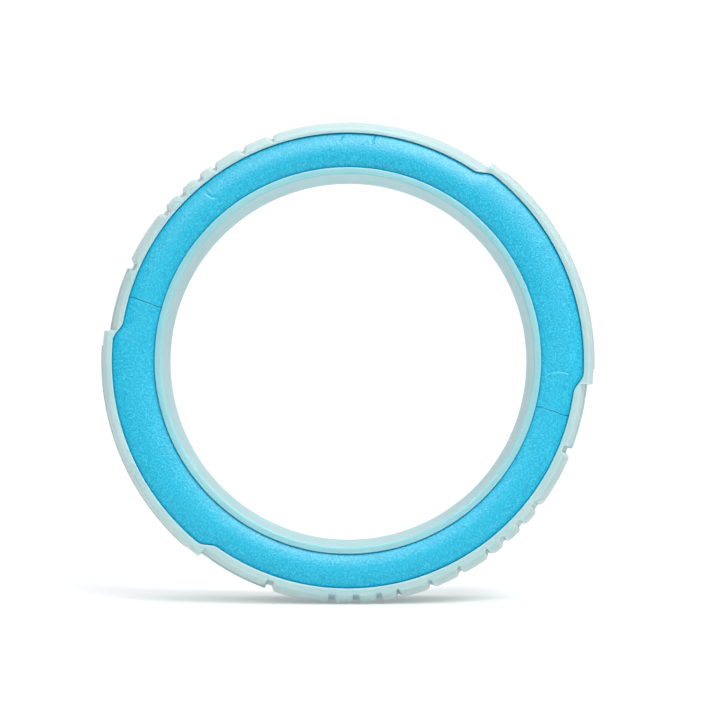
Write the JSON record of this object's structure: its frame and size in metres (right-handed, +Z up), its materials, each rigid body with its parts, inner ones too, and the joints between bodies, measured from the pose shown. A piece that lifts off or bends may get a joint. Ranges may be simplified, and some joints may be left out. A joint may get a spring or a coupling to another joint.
{
  "type": "juggling ring",
  "caption": "Thick soft throwing ring: translucent rubber tread band and inner hoop with blue closed-cell foam between them, open in the middle.",
  "frame": {"origin": "centre of the tread: midway over the pads, midway between crown and ground, and midway between the two faces; the axis of the bore passes 0.6 mm above it", "axes": "+Y along the ring's axis from the front face to the rear face, +Z up as the ring stands on its tread, +X to the right as seen from the front"},
  "size_m": [0.177, 0.046, 0.1722],
  "materials": {
    "tread_rubber": "satin, translucent pale aqua",
    "hoop_rubber": "satin, translucent pale aqua",
    "foam": "matte fine-celled closed-cell foam, bright blue"
  },
  "bodies": {
    "root": {"tread_band": "tread_rubber", "inner_hoop": "hoop_rubber", "front_foam_upper": "foam", "front_foam_lower": "foam", "rear_foam_upper": "foam", "rear_foam_lower": "foam"}
  },
  "joints": []
}
